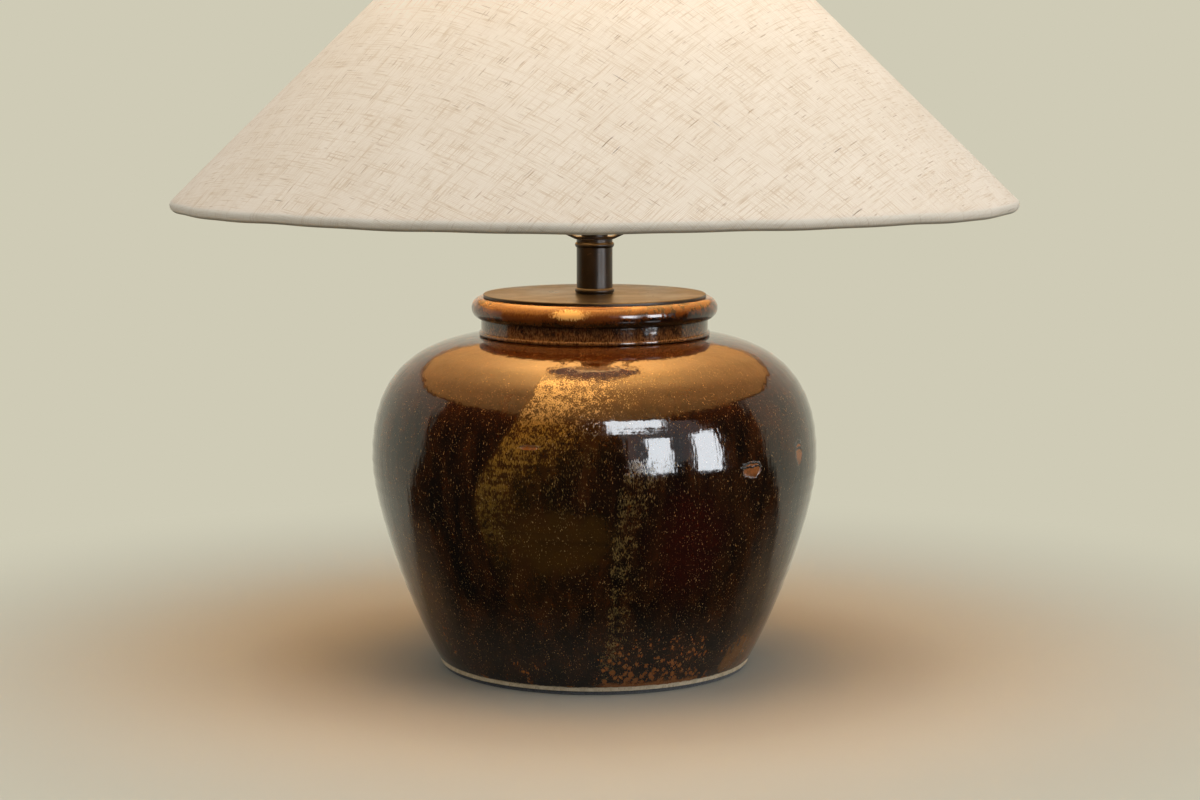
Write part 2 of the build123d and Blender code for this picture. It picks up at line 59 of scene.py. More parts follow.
def feed(socket, value):
    # a socket takes a link, or a plain number, vector or colour
    if isinstance(value, bpy.types.NodeSocket):
        socket.id_data.links.new(value, socket)
    else:
        socket.default_value = value


def putBeside(values, kind, **settings):
    # a node in the tree that the first linked value belongs to
    linked = [value for value in values if isinstance(value, bpy.types.NodeSocket)]
    return put(linked[0].id_data, kind, **settings)


def calc(operation, first, second=0.0, clamp=False):
    node = putBeside((first, second), "ShaderNodeMath", operation=operation, use_clamp=clamp)
    feed(node.inputs[0], first)
    feed(node.inputs[1], second)
    return node.outputs[0]


def chained(operation, values):
    result = values[0]
    for value in values[1:]:
        result = calc(operation, result, value)
    return result


def product(*values):
    return chained("MULTIPLY", values)


def plus(*values):
    return chained("ADD", values)


def less(*values):
    return chained("SUBTRACT", values)


def highest(*values):
    return chained("MAXIMUM", values)


def centred(value, amount):
    # noise from 0 to 1 as a swing to both sides of nothing
    return product(less(value, 0.5), amount)


def spread(value, low, high, start=0.0, end=1.0):
    # value from low to high becomes start to end, eased at both ends
    node = put(value.id_data, "ShaderNodeMapRange", interpolation_type="SMOOTHSTEP")
    labels = ("Value", "From Min", "From Max", "To Min", "To Max")
    for label, number in zip(labels, (value, low, high, start, end)):
        feed(node.inputs[label], number)
    return node.outputs["Result"]


def mixTones(amount, under, over, mode="MIX"):
    node = putBeside((amount, under, over), "ShaderNodeMix", data_type="RGBA", blend_type=mode)
    feed(node.inputs[0], amount)
    feed(node.inputs[6], under)
    feed(node.inputs[7], over)
    return node.outputs[2]


def stretched(vector, x, y, z):
    node = put(vector.id_data, "ShaderNodeVectorMath", operation="MULTIPLY")
    feed(node.inputs[0], vector)
    feed(node.inputs[1], (x, y, z))
    return node.outputs[0]


def axes(vector):
    node = put(vector.id_data, "ShaderNodeSeparateXYZ")
    feed(node.inputs[0], vector)
    return node.outputs


def lengthOf(vector):
    node = put(vector.id_data, "ShaderNodeVectorMath", operation="LENGTH")
    feed(node.inputs[0], vector)
    return node.outputs["Value"]


def noise(vector, scale, detail=2.0, roughness=0.5):
    node = put(vector.id_data, "ShaderNodeTexNoise")
    feed(node.inputs["Vector"], vector)
    feed(node.inputs["Scale"], scale)
    feed(node.inputs["Detail"], detail)
    feed(node.inputs["Roughness"], roughness)
    return node.outputs["Fac"]


def cells(vector, scale):
    node = put(vector.id_data, "ShaderNodeTexVoronoi")
    feed(node.inputs["Vector"], vector)
    feed(node.inputs["Scale"], scale)
    return node.outputs["Distance"], node.outputs["Color"]


def tone(red, green, blue):
    # a colour as it looks on screen, 0 to 255, as the linear values that sockets take
    def linear(level):
        level = level / 255
        return level / 12.92 if level <= 0.04045 else ((level + 0.055) / 1.055) ** 2.4
    return (linear(red), linear(green), linear(blue), 1.0)


def newFinish(name):
    finish = bpy.data.materials.new(name)
    finish.use_nodes = True
    tree = finish.node_tree
    shader = tree.nodes["Principled BSDF"]
    where = put(tree, "ShaderNodeTexCoord").outputs["Object"]
    return finish, shader, where


def newGroup(name, inputs, outputs):
    group = bpy.data.node_groups.new(name, "ShaderNodeTree")
    for label, kind in inputs.items():
        group.interface.new_socket(label, in_out="INPUT", socket_type=kind)
    for label in outputs:
        group.interface.new_socket(label, in_out="OUTPUT", socket_type="NodeSocketFloat")
    return group, group.nodes.new("NodeGroupInput"), group.nodes.new("NodeGroupOutput")


def place(group, **values):
    node = putBeside(values.values(), "ShaderNodeGroup", node_tree=group)
    for label, value in values.items():
        feed(node.inputs[label], value)
    return node


def relief(shader, height, depth, strength=1.0):
    bump = put(shader.id_data, "ShaderNodeBump")
    feed(bump.inputs["Distance"], depth)
    feed(bump.inputs["Strength"], strength)
    feed(bump.inputs["Height"], height)
    feed(shader.inputs["Normal"], bump.outputs["Normal"])


def newPiece(name, data, finish=None):
    piece = bpy.data.objects.new(name, data)
    bpy.context.scene.collection.objects.link(piece)
    if finish is not None:
        data.materials.clear()
        data.materials.append(finish)
    return piece


def settle(mesh, sharpAngle=35):
    # smooth faces that point outwards, with a crease kept at every hard edge
    shell = bmesh.new()
    shell.from_mesh(mesh)
    bmesh.ops.remove_doubles(shell, verts=shell.verts, dist=1e-6)
    bmesh.ops.recalc_face_normals(shell, faces=shell.faces)
    for face in shell.faces:
        face.smooth = True
    for edge in shell.edges:
        edge.smooth = len(edge.link_faces) != 2 or edge.calc_face_angle() < radians(sharpAngle)
    shell.to_mesh(mesh)
    shell.free()


# Surface effects that several finishes share
def makeHandling():
    # fine grain, soft blotches and hairline scratches
    inputs = {"Where": "NodeSocketVector", "Grain Scale": "NodeSocketFloat"}
    group, given, result = newGroup("handling", inputs, ["Grain", "Blotch", "Scratch"])
    where = given.outputs["Where"]
    grain = noise(where, given.outputs["Grain Scale"], 4.0, 0.6)
    blotch = noise(where, 38.0, 3.0, 0.55)
    across = noise(stretched(where, 60, 900, 420), 1.0, 1.0)
    along = noise(stretched(where, 800, 70, 500), 1.0, 1.0)
    scratch = highest(spread(across, 0.70, 0.78), spread(along, 0.71, 0.79))
    feed(result.inputs["Grain"], grain)
    feed(result.inputs["Blotch"], blotch)
    feed(result.inputs["Scratch"], scratch)
    return group


handling = makeHandling()


# name, dark, light and scratched tone, roughness; then metal, grain scale and grain depth if not as usual
workedLooks = {
    "dark_bronze": ("darkBronze", (27, 23, 20), (38, 32, 27), (70, 56, 44), 0.34, 0.5, 2200.0, 0.00001),
    "zinc_steel": ("zincSteel", (158, 160, 162), (186, 187, 186), (212, 212, 210), 0.36, 1.0),
    "brass": ("brightBrass", (176, 132, 62), (206, 164, 86), (232, 200, 130), 0.26, 1.0),
    "bulb_nickel": ("bulbNickel", (178, 176, 170), (206, 204, 198), (226, 224, 220), 0.24, 1.0),
    "black_rubber": ("blackRubber", (24, 24, 25), (36, 36, 37), (60, 60, 60), 0.70, 0.0, 900.0),
    "black_plastic": ("blackPlastic", (20, 20, 21), (30, 30, 31), (58, 58, 58), 0.42, 0.0, 1100.0),
    "white_plastic": ("whitePlastic", (226, 225, 220), (238, 237, 232), (206, 204, 198), 0.38),
    "shade_wire": ("shadeWire", (214, 208, 194), (230, 225, 212), (180, 172, 156), 0.45),
}


def workedFinish(name, dark, light, scratched, rough, metallic=0.0, grainScale=1400.0, grainDepth=0.00003):
    # two close tones, worn lighter along scratches, with roughness that follows the blotches
    finish, shader, where = newFinish(name)
    touch = place(handling, **{"Where": where, "Grain Scale": grainScale})
    body = mixTones(spread(touch.outputs["Blotch"], 0.3, 0.7), tone(*dark), tone(*light))
    body = mixTones(product(touch.outputs["Scratch"], 0.5), body, tone(*scratched))
    feed(shader.inputs["Base Color"], body)
    shine = spread(touch.outputs["Blotch"], 0.25, 0.75, rough - 0.07, rough + 0.08)
    shine = plus(shine, product(touch.outputs["Scratch"], 0.08))
    feed(shader.inputs["Roughness"], shine)
    feed(shader.inputs["Metallic"], metallic)
    relief(shader, touch.outputs["Grain"], grainDepth, 0.6)
    return finish


def woodFinish():
    finish, shader, where = newFinish("sawnPlugWood")
    rings = noise(stretched(where, 9, 160, 160), 1.0, 4.0, 0.6)
    pores = noise(stretched(where, 120, 2200, 2200), 1.0, 2.0)
    body = mixTones(spread(rings, 0.35, 0.65), tone(150, 116, 76), tone(188, 152, 104))
    body = mixTones(spread(pores, 0.62, 0.75, 0.0, 0.6), body, tone(104, 74, 44))
    feed(shader.inputs["Base Color"], body)
    feed(shader.inputs["Roughness"], spread(rings, 0.3, 0.7, 0.62, 0.78))
    relief(shader, pores, 0.00015, 0.5)
    return finish


def cardFinish():
    finish, shader, where = newFinish("linerCard")
    fibres = noise(stretched(where, 900, 900, 160), 1.0, 4.0, 0.65)
    feed(shader.inputs["Base Color"], mixTones(fibres, tone(128, 98, 66), tone(176, 142, 100)))
    feed(shader.inputs["Roughness"], spread(fibres, 0.3, 0.7, 0.75, 0.9))
    relief(shader, fibres, 0.0001, 0.5)
    return finish


# Bulb: where it shines from, how far the cone of the shade is, and how strongly its light is painted as a glow
# on film and cloth
bulb = {
    "middle": (0.0, 0.0, 0.3847), "toCone": 0.105, "paintedOnFilm": 0.075, "paintedThroughCloth": 0.0066,
    "globeGlow": 2.5, "watts": 1.7, "lightTone": (1.0, 0.74, 0.44), "lightRadius": 0.028,
}


def opalFinish():
    finish, shader, where = newFinish("opalBulb")
    touch = place(handling, **{"Where": where, "Grain Scale": 900.0})
    body = mixTones(touch.outputs["Blotch"], tone(246, 240, 226), tone(250, 246, 236))
    glow = mixTones(touch.outputs["Blotch"], tone(255, 226, 168), tone(255, 232, 182))
    feed(shader.inputs["Base Color"], body)
    feed(shader.inputs["Emission Color"], glow)
    feed(shader.inputs["Emission Strength"], bulb["globeGlow"])
    feed(shader.inputs["Roughness"], spread(touch.outputs["Grain"], 0.3, 0.7, 0.22, 0.34))
    return finish


def paintedBulbGlow(where, level):
    # painted light of the bulb on the cone of the shade, which it meets more steeply the farther it goes
    away = put(where.id_data, "ShaderNodeVectorMath", operation="DISTANCE")
    feed(away.inputs[0], where)
    feed(away.inputs[1], bulb["middle"])
    return calc("DIVIDE", bulb["toCone"] * level, calc("POWER", away.outputs["Value"], 3.0))


def filmFinish():
    # white film on the back of the cloth, faintly rippled, with the bulb's light painted on it as a warm glow
    finish, shader, where = newFinish("shadeFilm")
    touch = place(handling, **{"Where": where, "Grain Scale": 700.0})
    body = mixTones(touch.outputs["Blotch"], tone(244, 226, 194), tone(248, 234, 206))
    feed(shader.inputs["Base Color"], body)
    feed(shader.inputs["Roughness"], spread(touch.outputs["Grain"], 0.3, 0.7, 0.45, 0.6))
    # painted light: a warm glow, strongest next to the bulb, with a little everywhere
    paintedLight = plus(paintedBulbGlow(where, bulb["paintedOnFilm"]), 0.2)
    feed(shader.inputs["Emission Color"], mixTones(1.0, paintedLight, tone(255, 186, 100), "MULTIPLY"))
    feed(shader.inputs["Emission Strength"], 1.0)
    relief(shader, touch.outputs["Blotch"], 0.0004, 0.4)
    return finish


def makeFinishes():
    made = {slot: workedFinish(*look) for slot, look in workedLooks.items()}
    made["plug_wood"] = woodFinish()
    made["liner_card"] = cardFinish()
    made["opal_plastic"] = opalFinish()
    made["shade_film"] = filmFinish()
    return made


finishes = makeFinishes()
for part in frame["record"]["subparts"]:
    if part["material_slot"] in finishes:
        for holder in frame["nodes"][part["node"]].material_slots:
            holder.material = finishes[part["material_slot"]]
print("hardware finished")


# Jar: one closed outline turned round the axis, with the slight unevenness of thrown clay
jar = {
    "footLevel": 0.0025, "footRadius": 0.0946, "footBand": 0.0022, "overhang": 0.0016,
    "recessRadius": 0.0796, "recessTop": 0.0205, "floorTop": 0.0305, "pipeHole": 0.0053,
    "bellyRadius": 0.1356, "bellyLevel": 0.1285, "lean": 28.0, "footPull": 0.40, "bellyPull": 0.20,
    "collarRadius": 0.069, "collarLevel": 0.202, "slope": 5.7, "shoulderRise": 0.65, "shoulderRun": 0.64,
    "bead": 0.0009, "rollCentre": 0.06795, "rollLevel": 0.21865, "roll": 0.00675, "rimTop": 0.225,
    "wall": 0.008, "leadHole": 0.005, "leadLevel": 0.0135,
    "drillLength": 0.05, "drillReach": 0.1, "drillSides": 48, "turningRadius": 0.05,
    "unevenFrom": (0.024, 0.05), "unevenTo": (0.204, 0.19), "unevenScale": 11.0,
    "turns": 224, "detail": 28, "wobble": 0.0011, "ringDepth": 0.00016, "ringPitch": 0.0088, "seed": 4.0,
}


def flankHandles(start, widest):
    rise = widest[1] - start[1]
    pull = jar["footPull"] * rise
    lean = radians(jar["lean"])
    low = (start[0] + pull * sin(lean), start[1] + pull * cos(lean))
    return low, (widest[0], widest[1] - jar["bellyPull"] * rise)


def shoulderHandles(widest, collar):
    rise = collar[1] - widest[1]
    run = jar["shoulderRun"] * (widest[0] - collar[0])
    slope = radians(jar["slope"])
    high = (collar[0] + run * cos(slope), collar[1] - run * sin(slope))
    return (widest[0], widest[1] + jar["shoulderRise"] * rise), high


def arcSpan(centre, radius, start, end):
    # one curve span that follows an arc, angles in radians
    reach = 4 / 3 * tan((end - start) / 4) * radius
    first = (centre[0] + radius * cos(start), centre[1] + radius * sin(start))
    last = (centre[0] + radius * cos(end), centre[1] + radius * sin(end))
    leave = (first[0] - reach * sin(start), first[1] + reach * cos(start))
    arrive = (last[0] + reach * sin(end), last[1] - reach * cos(end))
    return leave, arrive, last


def jarSpans():
    # (handle, handle, point) for a curve, (point,) for a straight line
    foot = jar["footLevel"]
    start = (jar["footRadius"] + jar["overhang"], foot + jar["footBand"] + jar["overhang"])
    widest = (jar["bellyRadius"], jar["bellyLevel"])
    collar = (jar["collarRadius"], jar["collarLevel"])
    beadMiddle = (collar[0], collar[1] + 1.5 * jar["bead"])
    rollMiddle = (jar["rollCentre"], jar["rollLevel"])
    roll = jar["roll"]
    low = -sqrt(roll**2 - (collar[0] - rollMiddle[0]) ** 2)
    flat = sqrt(roll**2 - (jar["rimTop"] - rollMiddle[1]) ** 2)
    under = -pi / 2 + (collar[0] - rollMiddle[0]) / roll
    over = pi / 2 - flat / roll
    innerWidest = (widest[0] - jar["wall"], widest[1])
    innerCollar = (rollMiddle[0] - roll, collar[1] - jar["wall"])
    flare = (jar["floorTop"] - foot) * tan(radians(jar["lean"]))
    innerFloor = (jar["footRadius"] + flare - jar["wall"], jar["floorTop"])
    inShoulder = shoulderHandles(innerWidest, innerCollar)
    inFlank = flankHandles(innerFloor, innerWidest)
    return start, [
        (*flankHandles(start, widest), widest),
        (*shoulderHandles(widest, collar), collar),
        arcSpan(beadMiddle, 1.5 * jar["bead"], -pi / 2, pi / 2),
        ((collar[0], rollMiddle[1] + low),),
        arcSpan(rollMiddle, roll, under, 0.0),
        arcSpan(rollMiddle, roll, 0.0, over),
        ((rollMiddle[0] - flat, jar["rimTop"]),),
        arcSpan(rollMiddle, roll, pi - over, pi),
        (innerCollar,),
        (inShoulder[1], inShoulder[0], innerWidest),
        (inFlank[1], inFlank[0], innerFloor),
        ((jar["pipeHole"], jar["floorTop"]),),
        ((jar["pipeHole"], jar["recessTop"]),),
        ((jar["recessRadius"], jar["recessTop"]),),
        ((jar["recessRadius"], foot),),
        ((jar["footRadius"], foot),),
        ((jar["footRadius"], foot + jar["footBand"]),),
        (start,),
    ]


def jarOutline():
    # the outline lies flat: x is the radius less the turning circle's own, y runs down
    def flat(point):
        return Vector((point[0] - jar["turningRadius"], -point[1], 0))

    start, spans = jarSpans()
    data = bpy.data.curves.new("jarOutline", "CURVE")
    data.dimensions = "3D"
    data.resolution_u = jar["detail"]
    line = data.splines.new("BEZIER")
    line.bezier_points.add(len(spans) - 1)
    line.use_cyclic_u = True
    points = line.bezier_points
    points[0].co = flat(start)
    for i, span in enumerate(spans):
        here = points[i]
        there = points[(i + 1) % len(spans)]
        there.co = flat(span[-1])
        if len(span) == 3:
            here.handle_right_type = "FREE"
            there.handle_left_type = "FREE"
            here.handle_right = flat(span[0])
            there.handle_left = flat(span[1])
        else:
            here.handle_right_type = "VECTOR"
            there.handle_left_type = "VECTOR"
    return newPiece("jarBody", data)


def throwingTree():
    tree = bpy.data.node_groups.new("throwJar", "GeometryNodeTree")
    ask = tree.interface.new_socket
    ask("Outline", in_out="INPUT", socket_type="NodeSocketGeometry")
    for label in ("Turning Radius", "Wobble", "Ring Depth", "Ring Pitch", "Seed"):
        ask(label, in_out="INPUT", socket_type="NodeSocketFloat")
    ask("Turns", in_out="INPUT", socket_type="NodeSocketInt")
    ask("Glaze", in_out="INPUT", socket_type="NodeSocketMaterial")
    ask("Jar", in_out="OUTPUT", socket_type="NodeSocketGeometry")
    given = tree.nodes.new("NodeGroupInput").outputs
    result = tree.nodes.new("NodeGroupOutput")

    wheel = put(tree, "GeometryNodeCurvePrimitiveCircle", mode="RADIUS")
    feed(wheel.inputs["Resolution"], given["Turns"])
    feed(wheel.inputs["Radius"], given["Turning Radius"])
    wall = put(tree, "GeometryNodeCurveToMesh")
    feed(wall.inputs["Curve"], wheel.outputs["Curve"])
    feed(wall.inputs["Profile Curve"], given["Outline"])

    where = tree.nodes.new("GeometryNodeInputPosition").outputs[0]
    level = axes(where)["Z"]
    uneven = put(tree, "ShaderNodeTexNoise", noise_dimensions="4D")
    feed(uneven.inputs["Vector"], where)
    feed(uneven.inputs["W"], given["Seed"])
    feed(uneven.inputs["Scale"], jar["unevenScale"])
    feed(uneven.inputs["Detail"], 1.5)
    sway = centred(uneven.outputs[0], given["Wobble"])
    phase = plus(calc("DIVIDE", level, given["Ring Pitch"]), uneven.outputs[0])
    ridges = product(calc("SINE", product(phase, 2 * pi)), given["Ring Depth"])
    # the foot, the lead hole, the collar and the rim stay true
    held = product(spread(level, *jar["unevenFrom"]), spread(level, *jar["unevenTo"]))
    amount = product(plus(sway, ridges), held)
    outward = put(tree, "ShaderNodeVectorMath", operation="NORMALIZE")
    feed(outward.inputs[0], stretched(where, 1, 1, 0))
    push = put(tree, "ShaderNodeVectorMath", operation="SCALE")
    feed(push.inputs[0], outward.outputs[0])
    feed(push.inputs["Scale"], amount)
    moved = put(tree, "GeometryNodeSetPosition")
    feed(moved.inputs["Geometry"], wall.outputs["Mesh"])
    feed(moved.inputs["Offset"], push.outputs[0])

    real = put(tree, "GeometryNodeRealizeInstances")
    feed(real.inputs[0], moved.outputs[0])
    painted = put(tree, "GeometryNodeSetMaterial")
    feed(painted.inputs["Geometry"], real.outputs[0])
    feed(painted.inputs["Material"], given["Glaze"])
    feed(result.inputs[0], painted.outputs[0])
    return tree


def runTree(host, tree, values):
    # sets the named inputs, then swaps the host for the plain mesh that the tree makes
    modifier = host.modifiers.new("build", "NODES")
    modifier.node_group = tree
    for item in tree.interface.items_tree:
        if item.in_out == "INPUT" and item.name in values:
            modifier[item.identifier] = values[item.name]
    shaped = host.evaluated_get(bpy.context.evaluated_depsgraph_get())
    mesh = bpy.data.meshes.new_from_object(shaped)
    name = host.name
    bpy.data.objects.remove(host)
    return newPiece(name, mesh)


def drillLeadHole(piece):
    mesh = bpy.data.meshes.new("leadDrill")
    drill = bmesh.new()
    radius = jar["leadHole"]
    bmesh.ops.create_cone(drill, cap_ends=True, segments=jar["drillSides"],
                          radius1=radius, radius2=radius, depth=jar["drillLength"])
    for vert in drill.verts:
        vert.co = (vert.co.x, vert.co.z + jar["drillReach"], vert.co.y + jar["leadLevel"])
    bmesh.ops.recalc_face_normals(drill, faces=drill.faces)
    drill.to_mesh(mesh)
    drill.free()
    tool = newPiece("leadDrill", mesh)
    cut = piece.modifiers.new("leadHole", "BOOLEAN")
    cut.operation = "DIFFERENCE"
    cut.object = tool
    cut.solver = "EXACT"
    drilled = bpy.data.meshes.new_from_object(piece.evaluated_get(bpy.context.evaluated_depsgraph_get()))
    piece.modifiers.clear()
    finish = piece.data.materials[0]
    piece.data = drilled
    drilled.materials.clear()
    drilled.materials.append(finish)
    bpy.data.objects.remove(tool)


# Glaze: dark brown, broken by paler runs and patches. Angles in degrees from the front, levels in mm.
glaze = {
    "black": tone(15, 7, 4), "brown": tone(54, 29, 10), "red": tone(48, 11, 5), "moss": tone(68, 46, 13),
    "shoulder": tone(54, 28, 11), "tan": tone(112, 74, 36), "straw": tone(214, 190, 136),
    "ochre": tone(164, 128, 54), "olive": tone(106, 85, 34), "khaki": tone(126, 108, 66),
    "spot": tone(146, 90, 44), "speck": tone(186, 156, 106), "scar": tone(150, 92, 44),
    "collar": tone(124, 92, 58), "caramel": tone(84, 50, 20), "gold": tone(112, 78, 37),
    "clay": tone(206, 190, 160), "clayShade": tone(176, 158, 128), "clayPit": tone(120, 92, 62),
}
# start, sweep, back, top, knee, bottom, width at the top, width at the knee, strength of each speckled run
ochreRuns = [
    (-16, -15, 6, 195, 114, 58, 62, 26, 1.0),
    (104, -16, 6, 192, 120, 62, 46, 24, 0.9),
    (176, 12, -4, 190, 106, 50, 50, 28, 0.95),
    (-112, -10, 4, 192, 114, 56, 42, 22, 0.85),
]
khakiRuns = [
    (7, -3, -4, 152, 90, -30, 28, 18, 1.0),
    (-9, -4, -3, 172, 124, 70, 46, 38, 0.82),
    (98, -3, -2, 124, 70, 4, 26, 17, 0.95),
    (-158, 2, 2, 140, 80, 4, 28, 18, 1.0),
]
# angle, level, half width in degrees, half height, tone, strength, softness of each patch
glazePatches = [
    (-9, 96, 17, 25, "moss", 0.75, 0.55),
    (25, 92, 15, 44, "red", 0.85, 0.8),
    (68, 6, 22, 34, "tan", 1.0, 0.4),
    (-62, 60, 16, 40, "brown", 0.8, 0.8),
    (150, 74, 18, 36, "red", 0.8, 0.7),
    (-132, 86, 17, 25, "moss", 0.75, 0.55),
    (-172, 10, 18, 26, "tan", 0.8, 0.4),
]
# angle, level, half width and half height in mm of each scar
glazeScars = [
    (42, 134, 7.4, 5.2), (63, 138, 4.6, 8.0), (-16, 151, 5.6, 1.7),
    (150, 118, 6.0, 4.2), (-96, 92, 5.0, 3.4),
]
rimMottles = [(58.0, 52.0), (-82.0, 30.0), (172.0, 40.0)]  # angle and half width of each black stretch
rimPatch = (-11, 220.5, 10, 3.6)  # angle, level, half width in degrees and half height of the pale patch


def turnFrom(angle, start):
    # degrees past the start, from -180 to 180
    past = plus(less(angle, start), 180.0)
    return less(calc("FLOORED_MODULO", past, 360.0), 180.0)


def turnAway(on, middle):
    return calc("ABSOLUTE", turnFrom(on.angle, middle))


def oval(on, angle, level, halfWidth, halfHeight):
    # 0 in the middle of an oval on the jar, 1 on its edge; and the same share straight up
    across = calc("DIVIDE", turnFrom(on.angle, angle), halfWidth)
    upward = calc("DIVIDE", less(on.level, level), halfHeight)
    square = plus(product(across, across), product(upward, upward))
    return calc("SQRT", square), upward


def glazeFields(where):
    # where a spot lies on the jar, and the noises that all layers of the glaze share
    x, y, z = axes(where)
    mottle = noise(where, 230.0, 4.0, 0.65)
    dashes = noise(stretched(where, 1500, 1500, 500), 1.0, 2.0, 0.55)
    rows = noise(stretched(where, 9, 9, 190), 1.0, 2.0)
    return SimpleNamespace(
        where=where,
        angle=product(calc("ARCTAN2", x, product(y, -1.0)), 180 / pi),
        level=product(z, 1000.0),
        radius=calc("SQRT", plus(product(x, x), product(y, y))),
        drips=noise(stretched(where, 95, 95, 22), 1.0, 3.0, 0.6),
        dust=noise(stretched(where, 1700, 1700, 560), 1.0, 1.0),
        mottle=mottle, dashes=dashes, rows=rows,
        specks=plus(product(dashes, 0.7), product(mottle, 0.3), centred(rows, 0.05)),
    )


def groundTone(on):
    # streaks of brown in black, patches, and a thinner, browner shoulder
    body = mixTones(spread(on.drips, 0.35, 0.70), glaze["black"], glaze["brown"])
    for angle, level, halfWidth, halfHeight, name, strength, softness in glazePatches:
        away, _ = oval(on, angle, level, halfWidth, halfHeight)
        away = plus(away, centred(on.drips, 1.1), centred(on.mottle, 0.5))
        body = mixTones(spread(away, 1.0, 1.0 - softness, 0.0, strength), body, glaze[name])
    body = mixTones(spread(on.level, 150.0, 190.0, 0.0, 0.85), body, glaze["shoulder"])
    return mixTones(spread(on.rows, 0.5, 0.75, 0.0, 0.35), body, glaze["black"])


runLabels = ("Start", "Sweep", "Back", "Top", "Knee", "Bottom", "Wide", "Narrow")


def makeGlazeRun():
    # a run that leans aside down to its knee and thins out to its right
    labels = ("Angle", "Level", "Wander", *runLabels)
    group, given, result = newGroup("glazeRun", {label: "NodeSocketFloat" for label in labels}, ["Run"])
    sockets = [given.outputs[label] for label in labels]
    angle, level, wander, start, sweep, back, top, knee, bottom, wide, narrow = sockets
    edge = plus(start, spread(level, top, knee, 0.0, sweep))
    edge = plus(edge, spread(level, knee, bottom, 0.0, back), centred(wander, 7.0))
    past = turnFrom(angle, edge)
    width = spread(level, knee, top, narrow, wide)
    leftSide = spread(past, -0.6, 1.2)
    rightSide = less(1.0, spread(past, product(width, 0.1), width))
    lowSide = spread(level, bottom, plus(bottom, 60.0), 0.25, 1.0)
    highSide = less(1.0, spread(level, less(top, 10.0), top))
    footSide = spread(level, less(bottom, 6.0), bottom)
    feed(result.inputs["Run"], product(leftSide, rightSide, lowSide, highSide, footSide))
    return group


def runsMask(on, group, runs):
    masks = []
    for *numbers, strength in runs:
        shape = dict(zip(runLabels, numbers))
        run = place(group, Angle=on.angle, Level=on.level, Wander=on.drips, **shape)
        masks.append(product(run.outputs["Run"], strength))
    return highest(*masks)


def speckled(on, density, floor):
    # the denser the run, the more of the specks show
    low = less(0.80, product(density, 0.80 - floor))
    return spread(on.specks, low, plus(low, 0.15))


def withRuns(on, body):
    group = makeGlazeRun()
    gaps = spread(plus(on.rows, centred(on.mottle, 1.0)), 0.25, 0.70, 0.82, 1.06)
    khakiRun = product(runsMask(on, group, khakiRuns), gaps)
    khaki = speckled(on, khakiRun, 0.468)
    body = mixTones(product(khaki, 0.7), body, glaze["khaki"])
    ochreRun = product(runsMask(on, group, ochreRuns), gaps)
    ochre = speckled(on, ochreRun, 0.415)
    runTone = mixTones(spread(on.level, 96.0, 168.0), glaze["olive"], glaze["ochre"])
    runTone = mixTones(spread(on.level, 160.0, 180.0), runTone, glaze["straw"])
    runTone = mixTones(spread(on.dust, 0.35, 0.65, 0.0, 0.4), runTone, glaze["moss"])
    veil = product(ochreRun, spread(on.mottle, 0.3, 0.7, 0.4, 0.85))
    body = mixTones(veil, body, glaze["moss"])
    return mixTones(product(ochre, 0.8), body, runTone), ochre, khaki


def withSpots(on, body):
    # orange spots gather towards the foot and meet in a line there
    distance, shade = cells(stretched(on.where, 330, 330, 230), 1.0)
    side = spread(turnAway(on, 20.0), 21.0, 15.0)
    side = highest(side, spread(on.drips, 0.56, 0.64, 0.0, 0.7))
    crowd = product(spread(on.level, 42.0, 6.0), side)
    size = plus(0.12, product(crowd, product(shade, 0.55)))
    ragged = plus(distance, centred(on.specks, 1.5))
    spots = spread(ragged, plus(size, 0.06), size)
    spots = product(spots, spread(crowd, 0.02, 0.12))
    line = spread(plus(on.level, centred(on.mottle, 6.0)), 8.5, 6.0)
    marks = highest(spots, product(line, side))
    body = mixTones(product(marks, 0.9), body, glaze["spot"])

    # fine pale dust all over
    grit = spread(on.dust, 0.645, 0.74, 0.0, 0.75)
    grit = product(grit, spread(on.mottle, 0.42, 0.60, 0.15, 1.0))
    return mixTones(grit, body, glaze["speck"])


def withScars(on, body):
    # a chip of clay under a raised lid of glaze
    chips = []
    lids = []
    for angle, level, halfWidth, halfHeight in glazeScars:
        halfTurn = 180 / pi * halfWidth / (jar["bellyRadius"] * 1000)
        away, upward = oval(on, angle, level, halfTurn, halfHeight)
        away = plus(away, centred(on.mottle, 0.7), centred(on.dashes, 0.6))
        chips.append(product(spread(away, 1.0, 0.75), spread(upward, -1.0, -0.2, 0.35, 1.0)))
        fold = calc("ABSOLUTE", less(plus(upward, centred(on.mottle, 0.7)), 0.55))
        lids.append(product(spread(fold, 0.36, 0.24), spread(fold, 0.05, 0.13), spread(away, 1.2, 1.05)))
    chips = highest(*chips)
    lids = highest(*lids)
    chipTone = mixTones(spread(on.dashes, 0.48, 0.66), glaze["scar"], glaze["tan"])
    body = mixTones(product(chips, 0.9), body, chipTone)
    return mixTones(lids, body, glaze["black"]), chips, lids


def withCollar(on, body):
    # the glaze runs thin over the collar and the bead, its lighter brown partly a painted reflection; black
    # mottles and painted shade darken it up under the rim
    start = 1000 * jar["collarLevel"]
    collarTone = mixTones(spread(on.specks, 0.40, 0.60), glaze["brown"], glaze["collar"])
    # black glaze mottles, gathered up under the rim roll as painted shade
    blackMottle = product(spread(on.mottle, 0.49, 0.57), spread(on.level, start + 2.5, start + 6.5), 0.85)
    collarTone = mixTones(blackMottle, collarTone, glaze["black"])
    # the lighter collar tone, partly a painted reflection, gives way to the dark glaze towards the rim
    collar = spread(on.level, start - 0.5, start + 1.5)
    collar = product(collar, spread(on.level, start + 10.5, start + 5.0, 0.2, 0.9))
    return mixTones(collar, body, collarTone)


